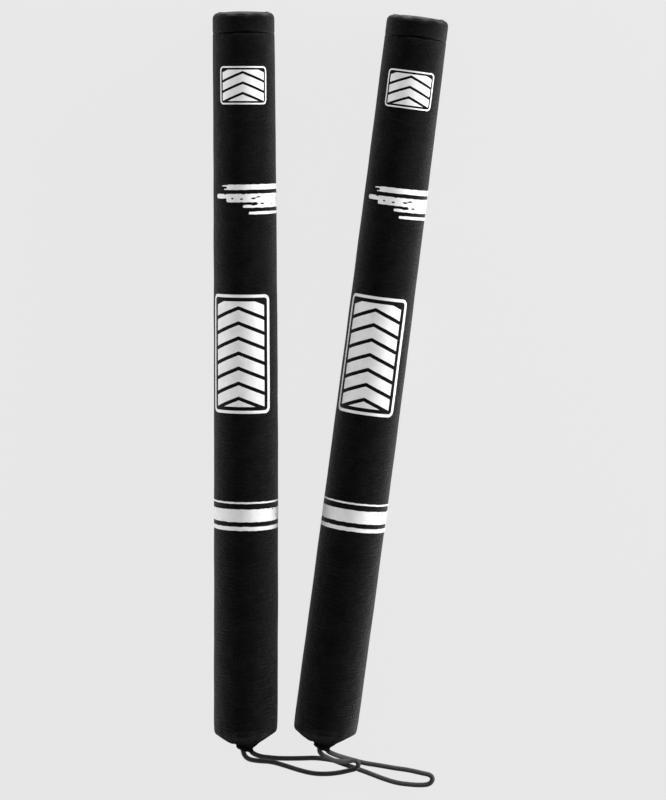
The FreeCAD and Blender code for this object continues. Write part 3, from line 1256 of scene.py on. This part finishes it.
FOAM_GREYS = (0.05, 0.05, 0.055), (0.09, 0.09, 0.10)
FOAM_FINISH = patterned("closed_cell_foam", 0.9, foam_cells, FOAM_GREYS, 0.12 * MM,
                        Specular_IOR_Level=0.2)
FOAM_R = STICK_R - FABRIC - 0.9 * MM
BORE_R = 11.2 * MM


def foam_sleeve_builder():
    low, high, soft = 21.5 * MM, CREASE - 0.6 * MM, 2 * MM
    wall = evenly(low + soft, high - soft, 60) + [high - soft]
    outline = ([(BORE_R, low + 1 * MM), (BORE_R + 1 * MM, low), (FOAM_R - soft, low)]
               + [(FOAM_R, along) for along in wall]
               + [(FOAM_R - soft, high), (BORE_R + 1 * MM, high), (BORE_R, high - 1 * MM)])
    builder = spun(outline, 48, closed=True)
    for vertex in builder.verts:
        around, away = turn_and_reach(vertex.co)
        if away > FOAM_R - 1 * MM:
            vertex.co.x += BOW * math.sin(math.pi * vertex.co.y / STICK_LENGTH)
            vertex.co.z = max(vertex.co.z, -FOAM_R)
            dent = 0.15 * MM * noise.noise(Vector((3 * math.sin(around), 3 * math.cos(around),
                                                   vertex.co.y * 40)))
            vertex.co.x, vertex.co.z = (value * (1 + dent / away)
                                        for value in (vertex.co.x, vertex.co.z))
    return builder


def foam_disc_builder():
    low, high, soft = CREASE + 0.3 * MM, STICK_LENGTH - FABRIC - 0.8 * MM, 3.5 * MM
    radius = FOAM_R - 0.6 * MM
    arc = [(radius - soft * (1 - math.cos(turn)), high - soft * (1 - math.sin(turn)))
           for turn in evenly(0, math.radians(90), 4)]
    outline = ([(0.02 * MM, low), (radius / 2, low), (radius - 1 * MM, low),
                (radius, low + 1 * MM)] + arc
               + [(radius - soft, high), (radius / 2, high + 0.3 * MM),
                  (0.02 * MM, high + 0.4 * MM)])
    builder = spun(outline, 48)
    bmesh.ops.holes_fill(builder, edges=builder.edges)
    settle(builder)
    return builder


foam_sleeve = finished(mesh_from(foam_sleeve_builder(), "foam_sleeve"))
foam_disc = finished(mesh_from(foam_disc_builder(), "foam_disc"))
for side in SIDES:
    padding = place(foam_sleeve, "foam_padding", side, "foam", FOAM_FINISH, "foam_sleeve")
    end_pad = place(foam_disc, "foam_end_pad", side, "foam", FOAM_FINISH, "top_foam_disc")
print("foam faces", len(foam_sleeve.polygons), len(foam_disc.polygons))

# %% [markdown]
# ## The stiff parts
#
# The tube, its two plugs and the knot are shaped well enough in the CAD model, so they stay,
# and only get a finish. The tube is extruded plastic with faint lines along it, and the
# plugs are moulded with a fine spark-eroded texture.

# %% Plastics
def drawn_lines(tree, place_of):
    stretch = add_node(tree, "ShaderNodeMapping", Scale=(900, 12, 900))
    tree.links.new(place_of, stretch.inputs["Vector"])
    return mottle(tree, stretch.outputs[0], 1.0)


def mould_grain(tree, place_of):
    return mottle(tree, place_of, 3200, 2.0)


def yarns(tree, place_of):
    wave = add_node(tree, "ShaderNodeTexWave", Scale=420.0, Distortion=3.0, Detail=1.0)
    tree.links.new(place_of, wave.inputs["Vector"])
    return wave.outputs["Fac"]


TUBE_GREYS = (0.50, 0.51, 0.52), (0.60, 0.61, 0.62)
PLUG_GREYS = (0.016, 0.016, 0.018), (0.028, 0.028, 0.030)
TUBE_FINISH = patterned("extruded_tube", 0.42, drawn_lines, TUBE_GREYS, 0.04 * MM, 0.5)
KNOT_FINISH = patterned("knotted_cord", 0.72, yarns, YARN_GREYS, 0.15 * MM,
                        Specular_IOR_Level=0.35)
PLUG_FINISH = patterned("moulded_plug", 0.55, mould_grain, PLUG_GREYS, 0.03 * MM, 0.6)
STIFF_FINISHES = {"core_tube": TUBE_FINISH, "cord_knot": KNOT_FINISH,
                  "top_plug": PLUG_FINISH, "base_plug": PLUG_FINISH}
for side in SIDES:
    for name, material in STIFF_FINISHES.items():
        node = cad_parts[side + "_" + name]
        node.data.materials.clear()
        node.data.materials.append(material)
print("CAD nodes that stay", sorted(STIFF_FINISHES))

# %% [markdown]
# ## Floor and light
#
# The pair lies on a plain pale floor in soft light. Panels stand beyond the closed ends on
# both sides, the right one stronger, so that the flanks of the black sticks read, their
# middles stay dark and the gathered ends fall off. The sky's glow also grows towards the
# closed ends. The floor glows, which thins the shadows out.

# %% The floor
def floor_finish():
    material, tree, shader = new_finish("pale_floor", 0.9, Specular_IOR_Level=0.1)
    shader.inputs["Base Color"].default_value = (0.018, 0.018, 0.018, 1)
    shader.inputs["Emission Color"].default_value = (1, 1, 1, 1)
    shader.inputs["Emission Strength"].default_value = 0.785
    return material


floor_builder = bmesh.new()
bmesh.ops.create_grid(floor_builder, x_segments=2, y_segments=2, size=6)
floor = add_object("floor", mesh_from(floor_builder, "floor"))
floor.data.materials.append(floor_finish())

# %% The lights
world = bpy.data.worlds.new("studio")
world.use_nodes = True
scene.world = world
sky_tree = world.node_tree
background = sky_tree.nodes["Background"]
background.inputs["Color"].default_value = (1, 1, 1, 1)
parts = sky_tree.nodes.new("ShaderNodeSeparateXYZ")
sky_tree.links.new(object_place(sky_tree), parts.inputs[0])
glow = add_node(sky_tree, "ShaderNodeMapRange", From_Min=-0.7, From_Max=0.7, To_Min=0.30,
                To_Max=0.56)
sky_tree.links.new(parts.outputs["Y"], glow.inputs["Value"])
sky_tree.links.new(glow.outputs["Result"], background.inputs["Strength"])

LIT_SPOT = Vector((0, 0.12, 0.03))


def add_light(name, place_at, size, power):
    """A large soft panel of light that faces the upper half of the pair."""
    data = bpy.data.lights.new(name, "AREA")
    data.shape = "RECTANGLE"
    data.size, data.size_y = size
    data.energy = power
    light = add_object(name, data)
    light.location = place_at
    light.rotation_euler = (LIT_SPOT - Vector(place_at)).to_track_quat("-Z", "Y").to_euler()


add_light("right_panel", (1.35, 0.75, 0.30), (1.2, 0.4), 62)
add_light("left_panel", (-1.40, 0.60, 0.25), (1.2, 0.4), 17)
add_light("overhead_panel", (0, 1.0, 3.0), (1.8, 1.8), 14)
